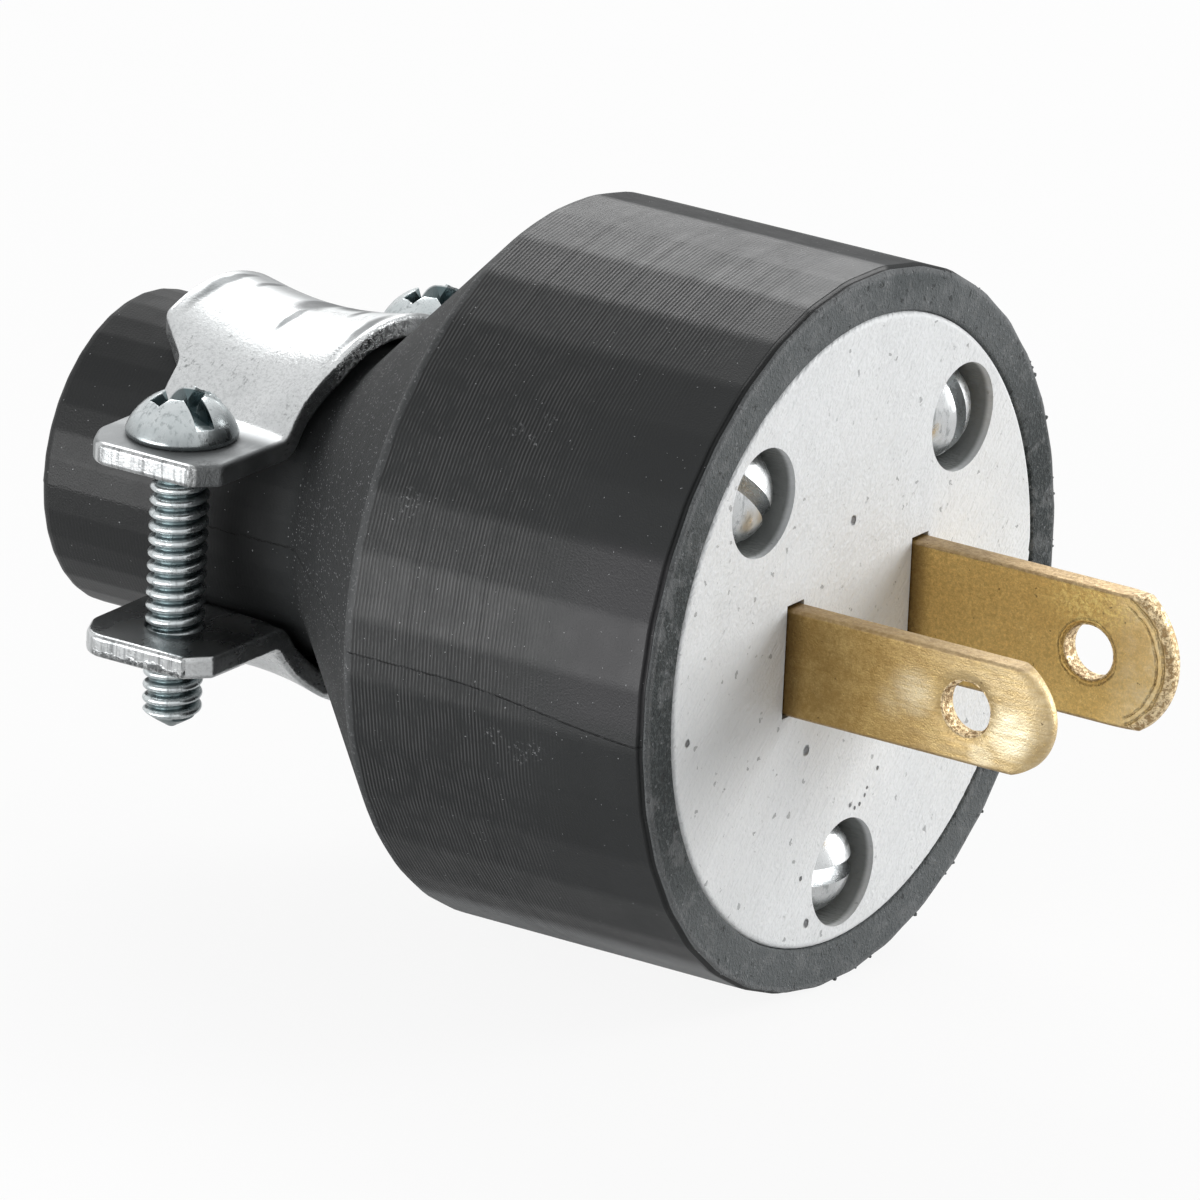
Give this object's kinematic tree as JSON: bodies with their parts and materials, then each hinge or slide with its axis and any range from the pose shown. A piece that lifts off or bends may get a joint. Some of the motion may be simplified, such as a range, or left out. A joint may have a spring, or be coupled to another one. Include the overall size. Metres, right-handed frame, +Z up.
{
  "type": "straight blade plug",
  "caption": "Straight blade plug with a faceted rubber barrel, a screwed-in front cover, polarised flat blades and a saddle clamp that grips the cord's neck.",
  "frame": {"origin": "centre of the front cover's outer face, midway between the blades", "axes": "+X out of the face along the blades, +Z up along the width of the blades, narrow blade on the -Y side"},
  "size_m": [0.0675, 0.042, 0.042],
  "materials": {
    "shell_rubber": "dull moulded rubber with fine ribs round the barrel",
    "cover_nylon": "off-white moulded nylon, faintly speckled",
    "base_nylon": "black moulded nylon",
    "blade_brass": "blanked sheet brass, slightly worn",
    "insert_brass": "turned brass",
    "clamp_steel": "bright zinc plate over stamped sheet",
    "screw_steel": "bright zinc plate"
  },
  "bodies": {
    "root": {"rubber_shell": "shell_rubber", "front_cover": "cover_nylon", "terminal_base": "base_nylon", "blade_narrow": "blade_brass", "blade_wide": "blade_brass", "clamp_saddle_upper": "clamp_steel", "clamp_saddle_lower": "clamp_steel", "clamp_screw_near": "screw_steel", "clamp_screw_far": "screw_steel", "terminal_screw_narrow": "screw_steel", "terminal_screw_wide": "screw_steel", "pressure_plate_narrow": "blade_brass", "pressure_plate_wide": "blade_brass", "cover_screw_left": "screw_steel", "cover_screw_right": "screw_steel", "cover_screw_bottom": "screw_steel", "threaded_insert_left": "insert_brass", "threaded_insert_right": "insert_brass", "threaded_insert_bottom": "insert_brass"}
  },
  "joints": []
}
